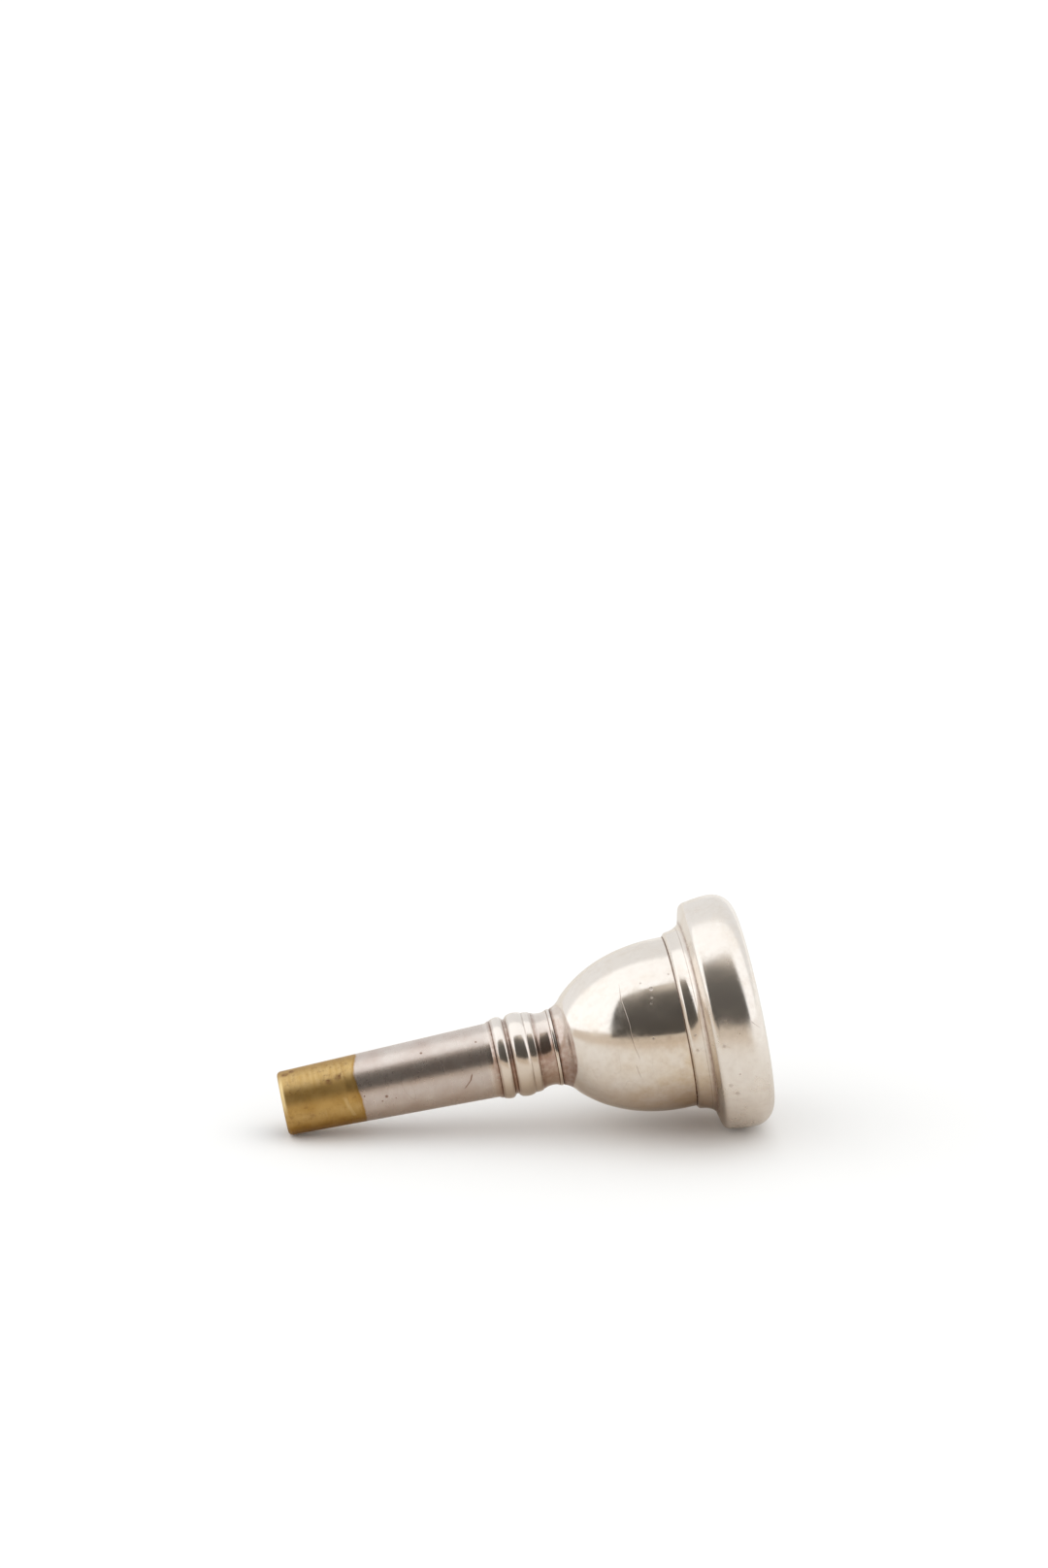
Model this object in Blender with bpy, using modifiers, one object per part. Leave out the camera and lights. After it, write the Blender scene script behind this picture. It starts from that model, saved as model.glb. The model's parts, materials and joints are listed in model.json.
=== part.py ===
"""Small shank trombone mouthpiece lying on its side: screw rim, cup, shank and end sleeve.

Every piece is a turned solid on one axis. Stations are measured along that axis from the open end of
the shank, and outlines are lists of (station, radius) points that start at the rim end, run down the
outer side and come back up the inner side.
"""

import math

import bpy

MM = 0.001

# Rim
CUP_DIAMETER = 24.5 * MM
RIM_WIDTH = 7.45 * MM
RIM_FRONT_ROUND = 3.3 * MM
RIM_INNER_FALL = 2.4 * MM
RIM_BAND_WIDTH = 4.85 * MM
RIM_BAND_DROP = 0.4 * MM
RIM_BACK_ROUND = 0.75 * MM
RIM_BACK_LEAN = 0.65 * MM
COVE_LENGTH = 1.65 * MM
COVE_RISE = 1.2 * MM
COLLAR_WIDTH = 1.35 * MM
COLLAR_STEP = 0.6 * MM
COLLAR_EDGE = 0.35 * MM

# Cup
CUP_WALL = 2.0 * MM
CUP_LIP_DEPTH = 7.95 * MM
CUP_BOWL_DEPTH = 18.6 * MM
CUP_FLOOR = 1.0 * MM
BOWL_SHOULDER = 0.55 * MM
BOWL_LENGTH = 17.8 * MM
BOWL_CURVE_LENGTH = 21.5 * MM
FOOT_DIAMETER = 13.1 * MM
FOOT_LENGTH = 1.8 * MM
FOOT_SLOPE = 0.35

# Joints between the pieces
JOINT_GAP = 0.3 * MM
RIM_SPIGOT_WALL = 0.75 * MM
RIM_SPIGOT_LENGTH = 5.0 * MM
SHANK_SPIGOT_DIAMETER = 9.6 * MM
SLEEVE_MOUTH_WALL = 0.5 * MM
SLEEVE_OVERLAP = 6.5 * MM

# Shank
THROAT_DIAMETER = 5.9 * MM
THROAT_LENGTH = 7.0 * MM
SHANK_END_DIAMETER = 10.6 * MM
SHANK_END_WALL = 0.8 * MM
SHANK_END_EDGE = 0.2 * MM
SHANK_TAPER = 1 / 20
SHANK_TAPER_LENGTH = 35.5 * MM
SLEEVE_LENGTH = 11.2 * MM
BEAD_FILLET_LENGTH = 1.0 * MM
SMALL_BEAD_WIDTH = 2.1 * MM
SMALL_BEAD_DIAMETER = 13.6 * MM
GROOVE_WIDTH = 0.85 * MM
GROOVE_DIAMETER = 12.3 * MM
LARGE_BEAD_WIDTH = 2.6 * MM
LARGE_BEAD_DIAMETER = 14.0 * MM
RIDGE_WIDTH = 1.15 * MM
RIDGE_DIAMETER = 13.3 * MM
BEAD_EDGE_DIAMETER = 13.1 * MM
NECK_LENGTH = 2.7 * MM
NECK_DIAMETER = 12.1 * MM
FOOT_RING_WIDTH = 0.75 * MM
FOOT_RING_DIAMETER = 12.8 * MM

# Facets
TURN_STEPS = 40
ROUND_STEPS = 6
BOWL_STEPS = 9
BEAD_STEPS = 4
TILT_STEPS = 60

# Stations along the axis, from the open end of the shank to the crest of the rim
SMALL_BEAD_AT = SHANK_TAPER_LENGTH + BEAD_FILLET_LENGTH
GROOVE_AT = SMALL_BEAD_AT + SMALL_BEAD_WIDTH
LARGE_BEAD_AT = GROOVE_AT + GROOVE_WIDTH
RIDGE_AT = LARGE_BEAD_AT + LARGE_BEAD_WIDTH
NECK_AT = RIDGE_AT + RIDGE_WIDTH
FOOT_RING_AT = NECK_AT + NECK_LENGTH
SHANK_SEAM = FOOT_RING_AT + FOOT_RING_WIDTH
FOOT_AT = SHANK_SEAM + JOINT_GAP
BOWL_AT = FOOT_AT + FOOT_LENGTH
CUP_TOP = BOWL_AT + BOWL_LENGTH + BOWL_SHOULDER
RIM_SEAM = CUP_TOP + JOINT_GAP
COVE_AT = RIM_SEAM + COLLAR_WIDTH
RIM_BACK_AT = COVE_AT + COVE_LENGTH
BAND_AT = RIM_BACK_AT + RIM_BACK_LEAN + RIM_BACK_ROUND
FRONT_ROUND_AT = BAND_AT + RIM_BAND_WIDTH
RIM_CREST = FRONT_ROUND_AT + RIM_FRONT_ROUND
CUP_BOWL_TOP = RIM_CREST - CUP_LIP_DEPTH

# Radii
CUP_RADIUS = CUP_DIAMETER / 2
RIM_RADIUS = CUP_RADIUS + RIM_WIDTH
BOWL_RADIUS = CUP_RADIUS + CUP_WALL
COLLAR_RADIUS = BOWL_RADIUS + COLLAR_STEP
RIM_BACK_RADIUS = COLLAR_RADIUS + COVE_RISE
CREST_RADIUS = RIM_RADIUS - RIM_FRONT_ROUND
THROAT_RADIUS = THROAT_DIAMETER / 2
SHANK_SPIGOT_RADIUS = SHANK_SPIGOT_DIAMETER / 2
BEAD_EDGE_RADIUS = BEAD_EDGE_DIAMETER / 2
FACET_FLAT = math.cos(math.pi / TURN_STEPS)


def shank_radius(station):
    """Outside of the tapered shank."""
    return (SHANK_END_DIAMETER + SHANK_TAPER * station) / 2


def cup_inside(station):
    """Inside of the cup: an ellipse below its lip, straight above."""
    below = max(0.0, CUP_BOWL_TOP - station) / CUP_BOWL_DEPTH
    return CUP_RADIUS * math.sqrt(max(0.0, 1.0 - below * below))


def bowl_outside(station):
    """Outside of the bowl: an ellipse below its shoulder."""
    below = (BOWL_AT + BOWL_LENGTH - station) / BOWL_CURVE_LENGTH
    return BOWL_RADIUS * math.sqrt(1.0 - below * below)


def bowl_slope(station):
    """How fast the bowl widens along the axis."""
    below = (BOWL_AT + BOWL_LENGTH - station) / BOWL_CURVE_LENGTH
    return BOWL_RADIUS * below / (BOWL_CURVE_LENGTH * math.sqrt(1.0 - below * below))


# The bottom of the cup, where its curve has narrowed to the throat
CUP_BOTTOM = CUP_BOWL_TOP - CUP_BOWL_DEPTH * math.sqrt(1.0 - (THROAT_RADIUS / CUP_RADIUS) ** 2)
SHANK_SOCKET_TOP = CUP_BOTTOM - CUP_FLOOR
SHANK_TOP = SHANK_SOCKET_TOP - JOINT_GAP
THROAT_END = SHANK_TOP - THROAT_LENGTH
RIM_SPIGOT_END = RIM_SEAM - RIM_SPIGOT_LENGTH
RIM_SPIGOT_RADIUS = cup_inside(RIM_SEAM) + RIM_SPIGOT_WALL
SLEEVE_BORE_RADIUS = shank_radius(SLEEVE_LENGTH) - SLEEVE_MOUTH_WALL
SLEEVE_SPIGOT_RADIUS = SLEEVE_BORE_RADIUS - JOINT_GAP
SLEEVE_SHELF = SLEEVE_LENGTH - SLEEVE_OVERLAP


def backbore(station):
    """The bore below the throat, which widens evenly to the open end."""
    end_radius = SHANK_END_DIAMETER / 2 - SHANK_END_WALL
    return end_radius + (THROAT_RADIUS - end_radius) * station / THROAT_END


def between(start, end, steps):
    """Even values from start to end, both included."""
    return [start + (end - start) * i / steps for i in range(steps + 1)]


def ellipse_arc(centre, reach_along, reach_out, start_deg, end_deg, steps):
    """Points of an ellipse round a (station, radius) centre; 0 degrees is along the axis, 90 outwards."""
    points = []
    for degrees in between(start_deg, end_deg, steps):
        angle = math.radians(degrees)
        station = centre[0] + reach_along * math.cos(angle)
        points.append((station, centre[1] + reach_out * math.sin(angle)))
    return points


def bow(start, end, rise, steps):
    """Points from start to end on a parabola that rises above the chord, or sinks if rise is negative."""
    points = []
    for t in between(0.0, 1.0, steps):
        station = start[0] + (end[0] - start[0]) * t
        chord = start[1] + (end[1] - start[1]) * t
        points.append((station, chord + rise * 4.0 * t * (1.0 - t)))
    return points


def flare(start, start_slope, end, end_slope, steps):
    """Points of a smooth curve that leaves start and meets end at the given slopes."""
    length = end[0] - start[0]
    points = []
    for t in between(0.0, 1.0, steps):
        u = 1.0 - t
        radius = (
            start[1] * u * u * (1.0 + 2.0 * t)
            + end[1] * t * t * (3.0 - 2.0 * t)
            + length * t * u * (start_slope * u - end_slope * t)
        )
        points.append((start[0] + length * t, radius))
    return points


def rim_outline():
    """Rounded rim with its collar, and the threaded spigot that goes into the cup."""
    front_centre = (FRONT_ROUND_AT, CREST_RADIUS)
    band_radius = RIM_RADIUS - RIM_BAND_DROP
    back_centre = (BAND_AT, band_radius - RIM_BACK_ROUND)
    inner_centre = (RIM_CREST - RIM_INNER_FALL, CREST_RADIUS)
    points = ellipse_arc(front_centre, RIM_FRONT_ROUND, RIM_FRONT_ROUND, 0, 90, ROUND_STEPS)
    points += bow((FRONT_ROUND_AT, RIM_RADIUS), (BAND_AT, band_radius), RIM_BAND_DROP / 4, BEAD_STEPS)[1:]
    points += ellipse_arc(back_centre, RIM_BACK_ROUND, RIM_BACK_ROUND, 90, 165, BEAD_STEPS)[1:]
    cove_centre = (COVE_AT, RIM_BACK_RADIUS)
    points += ellipse_arc(cove_centre, COVE_LENGTH, COVE_RISE, 0, -90, BEAD_STEPS)
    collar_centre = (RIM_SEAM + COLLAR_EDGE, COLLAR_RADIUS - COLLAR_EDGE)
    points += ellipse_arc(collar_centre, COLLAR_EDGE, COLLAR_EDGE, 90, 180, 2)
    points += [(RIM_SEAM, RIM_SPIGOT_RADIUS), (RIM_SPIGOT_END, RIM_SPIGOT_RADIUS)]
    points += [(s, cup_inside(s)) for s in between(RIM_SPIGOT_END, CUP_BOWL_TOP, BEAD_STEPS)]
    inner_reach = CREST_RADIUS - CUP_RADIUS
    points += ellipse_arc(inner_centre, RIM_INNER_FALL, inner_reach, 270, 360, ROUND_STEPS)[:-1]
    return points


def cup_outline():
    """Goblet bowl on a flared foot, with a socket for the rim above and one for the shank below."""
    rim_socket = RIM_SPIGOT_RADIUS + JOINT_GAP
    rim_shelf = RIM_SPIGOT_END - JOINT_GAP
    shank_socket = SHANK_SPIGOT_RADIUS + JOINT_GAP
    shoulder = BOWL_AT + BOWL_LENGTH
    low_deg = math.degrees(math.acos(-BOWL_LENGTH / BOWL_CURVE_LENGTH))
    points = [(CUP_TOP, rim_socket), (CUP_TOP, BOWL_RADIUS)]
    points += ellipse_arc((shoulder, 0.0), BOWL_CURVE_LENGTH, BOWL_RADIUS, 90, low_deg, BOWL_STEPS)
    foot_edge = (FOOT_AT, FOOT_DIAMETER / 2)
    bowl_edge = (BOWL_AT, bowl_outside(BOWL_AT))
    foot = flare(foot_edge, FOOT_SLOPE, bowl_edge, bowl_slope(BOWL_AT), BEAD_STEPS)
    points += foot[-2::-1]
    points += [(FOOT_AT, shank_socket), (SHANK_SOCKET_TOP, shank_socket), (SHANK_SOCKET_TOP, THROAT_RADIUS)]
    throat_deg = 180 + math.degrees(math.asin(THROAT_RADIUS / CUP_RADIUS))
    shelf_deg = 180 + math.degrees(math.acos((CUP_BOWL_TOP - rim_shelf) / CUP_BOWL_DEPTH))
    inside_centre = (CUP_BOWL_TOP, 0.0)
    points += ellipse_arc(inside_centre, CUP_BOWL_DEPTH, -CUP_RADIUS, throat_deg, shelf_deg, BOWL_STEPS)
    points += [(rim_shelf, rim_socket)]
    return points


def shank_outline():
    """Threaded spigot, foot ring, neck, ridge and beads, then the taper and the spigot under the sleeve."""
    ridge_crown = RIDGE_DIAMETER / 2 - BEAD_EDGE_RADIUS
    large_crown = LARGE_BEAD_DIAMETER / 2 - BEAD_EDGE_RADIUS
    small_crown = SMALL_BEAD_DIAMETER / 2 - BEAD_EDGE_RADIUS
    foot_ring_radius = FOOT_RING_DIAMETER / 2
    neck_sink = NECK_DIAMETER / 2 - (foot_ring_radius + BEAD_EDGE_RADIUS) / 2
    sleeve_seam = SLEEVE_LENGTH + JOINT_GAP
    points = [(SHANK_TOP, SHANK_SPIGOT_RADIUS), (SHANK_SEAM, SHANK_SPIGOT_RADIUS)]
    points += [(SHANK_SEAM, foot_ring_radius)]
    neck_edge = (NECK_AT, BEAD_EDGE_RADIUS)
    ridge_edge = (RIDGE_AT, BEAD_EDGE_RADIUS)
    large_bead_edge = (LARGE_BEAD_AT, BEAD_EDGE_RADIUS)
    groove_edge = (GROOVE_AT, BEAD_EDGE_RADIUS)
    small_bead_edge = (SMALL_BEAD_AT, BEAD_EDGE_RADIUS)
    points += bow((FOOT_RING_AT, foot_ring_radius), neck_edge, neck_sink, ROUND_STEPS)
    points += bow(neck_edge, ridge_edge, ridge_crown, 2)[1:]
    points += bow(ridge_edge, large_bead_edge, large_crown, ROUND_STEPS)[1:]
    groove_sink = GROOVE_DIAMETER / 2 - BEAD_EDGE_RADIUS
    points += bow(large_bead_edge, groove_edge, groove_sink, 2)[1:]
    points += bow(groove_edge, small_bead_edge, small_crown, BEAD_STEPS)[1:]
    taper_top = (SHANK_TAPER_LENGTH, shank_radius(SHANK_TAPER_LENGTH))
    fillet = flare(taper_top, SHANK_TAPER / 2, small_bead_edge, 1.0, BEAD_STEPS)
    points += fillet[-2::-1]
    points += [(sleeve_seam, shank_radius(sleeve_seam)), (sleeve_seam, SLEEVE_SPIGOT_RADIUS)]
    spigot_end = SLEEVE_SHELF + JOINT_GAP
    points += [(spigot_end, SLEEVE_SPIGOT_RADIUS), (spigot_end, backbore(spigot_end))]
    points += [(THROAT_END, THROAT_RADIUS), (SHANK_TOP, THROAT_RADIUS)]
    return points


def sleeve_outline():
    """Brass sleeve whose outside carries on the taper and whose mouth slips over the shank's spigot."""
    edge = SHANK_END_EDGE
    edge_centre = (edge, shank_radius(edge) - edge)
    points = [(SLEEVE_LENGTH, SLEEVE_BORE_RADIUS), (SLEEVE_LENGTH, shank_radius(SLEEVE_LENGTH))]
    points += ellipse_arc(edge_centre, edge, edge, 90, 180, 2)
    points += [(0.0, backbore(0.0)), (SLEEVE_SHELF, backbore(SLEEVE_SHELF))]
    points += [(SLEEVE_SHELF, SLEEVE_BORE_RADIUS)]
    return points


def depth_below_axis(outline, tilt):
    """How far an outline reaches under the axis line when that line climbs by tilt from the shank's end."""
    return max(r * FACET_FLAT * math.cos(tilt) - s * math.sin(tilt) for s, r in outline)


def lying_tilt(sleeve, rim):
    """Angle of the axis when the end of the shank and the edge of the rim rest on one flat surface."""
    low = 0.0
    high = math.pi / 4
    for _ in range(TILT_STEPS):
        tilt = (low + high) / 2
        if depth_below_axis(sleeve, tilt) > depth_below_axis(rim, tilt):
            high = tilt
        else:
            low = tilt
    return tilt


def metal(name, colour, roughness):
    """A bare or plated metal finish."""
    material = bpy.data.materials.new(name)
    material.use_nodes = True
    shader = material.node_tree.nodes["Principled BSDF"]
    shader.inputs["Base Color"].default_value = (*colour, 1.0)
    shader.inputs["Metallic"].default_value = 1.0
    shader.inputs["Roughness"].default_value = roughness
    return material


def turned(name, outline, material, collection, pose):
    """A solid turned round the axis, with a flat facet underneath."""
    mesh = bpy.data.meshes.new(name)
    count = len(outline)
    mesh.from_pydata([(r, 0.0, s) for s, r in outline], [(i, (i + 1) % count) for i in range(count)], [])
    mesh.materials.append(material)
    obj = bpy.data.objects.new(name, mesh)
    collection.objects.link(obj)
    obj.parent = pose
    obj.rotation_euler = (0.0, 0.0, math.pi / TURN_STEPS)
    screw = obj.modifiers.new("Turning", "SCREW")
    screw.axis = "Z"
    screw.angle = 2.0 * math.pi
    screw.steps = TURN_STEPS
    screw.render_steps = TURN_STEPS
    screw.use_merge_vertices = True
    screw.merge_threshold = 0.001 * MM
    screw.use_smooth_shade = True
    return obj


def lying_pose(collection, sleeve, rim):
    """The axis as it lies, with the middle of the footprint at the origin; local Z runs to the rim."""
    tilt = lying_tilt(sleeve, rim)
    outer = sleeve + rim
    left = min(s * math.cos(tilt) - r * FACET_FLAT * math.sin(tilt) for s, r in outer)
    right = max(s * math.cos(tilt) + r * FACET_FLAT * math.sin(tilt) for s, r in outer)
    pose = bpy.data.objects.new("lying_axis", None)
    pose.location = (-(left + right) / 2, 0.0, depth_below_axis(rim, tilt))
    pose.rotation_euler = (0.0, math.pi / 2 - tilt, 0.0)
    collection.objects.link(pose)
    return pose


def main():
    for obj in list(bpy.data.objects):
        bpy.data.objects.remove(obj)
    collection = bpy.data.collections.new("mouthpiece")
    bpy.context.scene.collection.children.link(collection)
    rim = rim_outline()
    sleeve = sleeve_outline()
    pose = lying_pose(collection, sleeve, rim)
    bright_plate = metal("bright_silver_plate", (0.90, 0.87, 0.82), 0.12)
    cup_plate = metal("cup_silver_plate", (0.90, 0.86, 0.80), 0.14)
    worn_plate = metal("worn_silver_plate", (0.82, 0.78, 0.74), 0.28)
    bare_brass = metal("bare_brass", (0.62, 0.44, 0.16), 0.32)
    turned("rim", rim, bright_plate, collection, pose)
    turned("cup", cup_outline(), cup_plate, collection, pose)
    turned("shank", shank_outline(), worn_plate, collection, pose)
    turned("end_sleeve", sleeve, bare_brass, collection, pose)


main()
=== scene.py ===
"""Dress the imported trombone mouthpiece: turned pieces, worn silver plate, bare brass, pale studio.

Stations are millimetres along the mouthpiece's axis from the open end of the shank, and outlines
are chains of (station, radius) points that a full spin turns into a surface.
"""

import json
import math
from functools import partial

import bmesh
import bpy
from bpy.props import FloatProperty, FloatVectorProperty, IntProperty, PointerProperty
from bpy.types import Operator, Panel, PropertyGroup
from mathutils import Color, Matrix, Quaternion, Vector


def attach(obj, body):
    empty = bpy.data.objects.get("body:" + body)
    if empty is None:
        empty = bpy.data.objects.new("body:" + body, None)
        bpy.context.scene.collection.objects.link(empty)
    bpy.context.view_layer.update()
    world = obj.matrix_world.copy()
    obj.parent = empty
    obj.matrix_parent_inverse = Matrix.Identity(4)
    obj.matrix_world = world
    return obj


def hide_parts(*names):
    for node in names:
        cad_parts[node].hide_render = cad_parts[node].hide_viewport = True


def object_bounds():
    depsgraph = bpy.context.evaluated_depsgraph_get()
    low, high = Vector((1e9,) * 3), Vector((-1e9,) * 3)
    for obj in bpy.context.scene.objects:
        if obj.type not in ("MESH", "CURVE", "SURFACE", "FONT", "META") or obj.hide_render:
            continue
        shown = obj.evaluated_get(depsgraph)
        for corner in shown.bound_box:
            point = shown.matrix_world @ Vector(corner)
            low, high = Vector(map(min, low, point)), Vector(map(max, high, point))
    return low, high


bl_info = {
    "name": "Trombone Mouthpiece",
    "version": (1, 0, 0),
    "blender": (4, 5, 0),
    "location": "3D View > Sidebar > Mouthpiece",
    "description": "Turns a worn silver-plated trombone mouthpiece and its studio",
    "category": "Add Mesh",
}

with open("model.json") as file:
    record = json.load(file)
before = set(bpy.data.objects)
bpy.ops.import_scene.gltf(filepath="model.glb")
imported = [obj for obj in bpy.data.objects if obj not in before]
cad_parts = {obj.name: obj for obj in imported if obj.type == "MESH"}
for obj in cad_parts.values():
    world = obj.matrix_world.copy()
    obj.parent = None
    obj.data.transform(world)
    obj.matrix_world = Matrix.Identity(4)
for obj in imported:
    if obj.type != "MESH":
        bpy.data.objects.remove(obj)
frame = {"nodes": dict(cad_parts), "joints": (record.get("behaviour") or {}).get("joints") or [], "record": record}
CAD_BOX = [list(corner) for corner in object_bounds()]

MM = 0.001

# Millimetres inside the joints, where one piece has to fit another.
SEAM_GAP = 0.012  # half of the hairline between the rim and the cup
LIP_DROP = 7.95  # from the rim's crest down to where the cup's inside starts to round
RIM_SPIGOT = 12.46
RIM_SOCKET = 13.04
SHANK_SPIGOT = 4.66
SHANK_SOCKET = 5.22
SHANK_SOCKET_TOP = 52.947
SLEEVE_SPIGOT = 4.78
THROAT_END = 45.647

# Screw threads: the pitch, how deep a ridge is set in its wall, and the faces in a turn.
THREAD_PITCH = 0.9
THREAD_ROOT = 0.03
THREAD_STEPS = 72

# The outlines of the bowl and of the rim.
BOWL_START = 48.75  # station of the first point of the bowl's ellipse
BOWL_STEPS = 44
BOWL_SWELL = 0.012  # share by which the bowl stands outside that ellipse, halfway up
BAND_RISE = 0.4  # how far the rim's band climbs towards the crest
BAND_STEPS = 12
INNER_ROUND = 2.4  # from the rim's crest down to the straight mouth

# Material slots of a turned piece.
OUTSIDE, MACHINED, INSIDE = range(3)

MERGE_REACH = 0.0005 * MM  # points closer than this become one
SHARP_TURN = math.radians(40)  # an edge that turns more stays sharp
FLOOR_STEPS = 96
FLOOR_MERGE = 0.1 * MM
LIGHT_BLEND = 0.08  # half the width of the edge between the front light and the back light

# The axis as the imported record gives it: the rim draws off along it, the open end is centred on it.
RIM_JOINT = next(joint for joint in frame["joints"] if joint["name"] == "rim_unscrew")
OPEN_END = next(mount for mount in frame["record"]["mounts"] if mount["name"] == "shank_end")
AXIS = Vector(RIM_JOINT["axis"]).normalized()
END_CENTRE = Vector((OPEN_END["pos_m"][0], 0.0, OPEN_END["pos_m"][2]))
AXIS_TURN = math.acos(AXIS.z)
LYING = Matrix.Translation(END_CENTRE) @ Matrix.Rotation(AXIS_TURN, 4, "Y")


def measure(node):
    """Lowest station, highest station and largest radius of a CAD node, in metres."""
    upright = LYING.inverted()
    points = [upright @ vertex.co for vertex in frame["nodes"][node].data.vertices]
    stations = [point.z for point in points]
    return min(stations), max(stations), max(math.hypot(point.x, point.y) for point in points)


RIM_CAD = measure("rim")
CUP_CAD = measure("cup")
SHANK_CAD = measure("shank")
SLEEVE_CAD = measure("end_sleeve")


def linear(code):
    """The linear colour of an sRGB hex code."""
    levels = [int(code[place : place + 2], 16) / 255 for place in (1, 3, 5)]
    return tuple(v / 12.92 if v <= 0.04045 else ((v + 0.055) / 1.055) ** 2.4 for v in levels)


def a_value(name, description, default, kind=FloatProperty, **limits):
    """A value that a user may change."""
    return kind(name=name, description=description, default=default, **limits)


a_length = partial(a_value, unit="LENGTH", precision=5)
a_strength = partial(a_value, min=0.0)


def an_angle(name, description, degrees):
    """An angle that a user may change, given in degrees."""
    return a_value(name, description, math.radians(degrees), subtype="ANGLE")


def a_colour(name, description, code):
    """A colour that a user may change, given by its sRGB hex code."""
    limits = {"subtype": "COLOR", "min": 0.0, "max": 1.0}
    return a_value(name, description, linear(code), FloatVectorProperty, **limits)


class RimSettings(PropertyGroup):
    """Sizes of the screw rim."""

    crest: a_length("Crest", "Distance of the rim's crest from the open end", RIM_CAD[1])
    radius: a_length("Radius", "Largest radius of the rim", RIM_CAD[2] - 0.15 * MM)
    mouth: a_length("Mouth", "Inner radius of the cup's mouth", 12.25 * MM)
    front_round: a_length("Front round", "Radius of the round from crest to band", 3.7 * MM)
    spigot_end: a_length("Spigot end", "Station where the threaded spigot ends", RIM_CAD[0])
    seam: a_length("Seam", "Station of the rim's seam with the cup", 67.4 * MM)


class CupSettings(PropertyGroup):
    """Sizes of the cup."""

    foot: a_length("Foot", "Station where the cup's foot starts", CUP_CAD[0])
    shoulder: a_length("Shoulder", "Station where the bowl is widest", 66.55 * MM)
    radius: a_length("Radius", "Largest outer radius of the bowl", CUP_CAD[2])
    curve: a_length("Curve", "Half length of the ellipse that the bowl follows", 21.5 * MM)
    depth: a_length("Depth", "Depth of the rounded inside below its straight lip", 18.6 * MM)
    throat: a_length("Throat", "Radius of the throat", 2.95 * MM)


class ShankSettings(PropertyGroup):
    """Sizes of the shank."""

    top: a_length("Top", "Station where the threaded spigot ends", SHANK_CAD[1])
    tip_radius: a_length("Tip radius", "Radius of the taper at the open end", 5.3 * MM)
    taper: a_value("Taper", "Gain in radius along the axis", 0.025)
    bore: a_length("Bore", "Radius of the backbore at the open end", 4.5 * MM)


class SleeveSettings(PropertyGroup):
    """Sizes of the end sleeve."""

    seam: a_length("Seam", "Station of the sleeve's seam with the shank", SLEEVE_CAD[1])
    shelf: a_length("Shelf", "Station of the shelf inside the sleeve", 4.7 * MM)
    mouth: a_length("Mouth", "Inner radius where the sleeve slips over the shank", 5.08 * MM)


class FinishSettings(PropertyGroup):
    """Colours of the plate, the tarnish and the bare metal, some also used as painted shade, reflection and
    highlight.
    """

    silver: a_colour("Silver", "Clean silver plate", "#F0EAE3")
    # Also a painted reflection of the warm floor on the lower half.
    warm_silver_and_reflection: a_colour("Warm silver", "Silver plate with a thin warm tarnish", "#DAC3A1")
    worn_silver: a_colour("Worn silver", "Silver plate rubbed grey by use", "#D0C5BE")
    # Also painted reflection and shade of dark neighbouring parts in the concave foot, neck and cove.
    dusky_silver_and_reflection: a_colour("Dusky silver", "Thin plate, tinted by the metal below", "#AB8D7F")
    # Also painted shade: the underside darkened as if by the floor's shadow.
    grime_and_shade: a_colour("Grime", "Brown film on the underside", "#A9845A")
    tarnish: a_colour("Tarnish", "Brown tarnish in grooves and pits", "#7A5138")
    brass: a_colour("Brass", "Bare dull brass", "#C6A263")
    # Also painted shade on the brass's underside and far side.
    deep_brass_and_shade: a_colour("Deep brass", "Darkened brass", "#A27A38")
    # Also a painted highlight along the brass's top and on the open end's edge.
    pale_brass_and_highlight: a_colour("Pale brass", "Brass rubbed bright", "#EAD3A0")


class StageSettings(PropertyGroup):
    """Floor, light and camera."""

    azimuth: an_angle("Azimuth", "Camera's turn about the object", -5.61)
    elevation: an_angle("Elevation", "Camera's height above the floor", 17.44)
    roll: an_angle("Roll", "Camera's lean to one side", 0.43)
    distance: a_length("Distance", "Camera's distance from the object's middle", 0.8)
    lens: a_value("Lens", "Focal length in millimetres", 111.03, min=1.0)
    rise: a_length("Rise", "How far above the object's middle the camera aims", 38.33 * MM)
    aside: a_length("Aside", "How far beside the object's middle the camera aims", -0.29 * MM)
    floor: a_colour("Floor", "Pale paper under the object", "#FAFAF9")
    card: a_colour("Card", "Beige card that warms the metal's lower half", "#E3DFD9")
    far_card: a_colour("Far card", "Tan that the card fades to near the camera", "#D1C4B5")
    flag: a_colour("Flag", "Tint of the cloth flag where it lets most light by", "#FBEFE0")
    light: a_colour("Light", "Tint of the light all round", "#FFFFFF")
    front_light: a_strength("Front light", "Strength of the front half's light", 1.15)
    back_light: a_strength("Back light", "Strength of the back half's light", 0.85)
    front_reach: an_angle("Front reach", "How far over the top the front half's light comes", 116.0)
    left_reach: a_strength("Left reach", "How much further that light comes on the left", 0.3)
    left_gain: a_strength("Left gain", "How much stronger all the light is on the left", 0.1)


class MouthpieceSettings(PropertyGroup):
    """Everything that shapes and finishes the mouthpiece."""

    turn_steps: a_value("Turn steps", "Faces round each turned surface", 180, IntProperty, min=24)
    rim: PointerProperty(type=RimSettings)
    cup: PointerProperty(type=CupSettings)
    shank: PointerProperty(type=ShankSettings)
    sleeve: PointerProperty(type=SleeveSettings)
    finish: PointerProperty(type=FinishSettings)
    stage: PointerProperty(type=StageSettings)


def arc(centre, along, out, start, end, steps):
    """Points of an ellipse round a (station, radius) centre; 0 degrees lies along the axis."""
    points = []
    for step in range(steps + 1):
        angle = math.radians(start + (end - start) * step / steps)
        points.append((centre[0] + along * math.cos(angle), centre[1] + out * math.sin(angle)))
    return points


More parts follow.
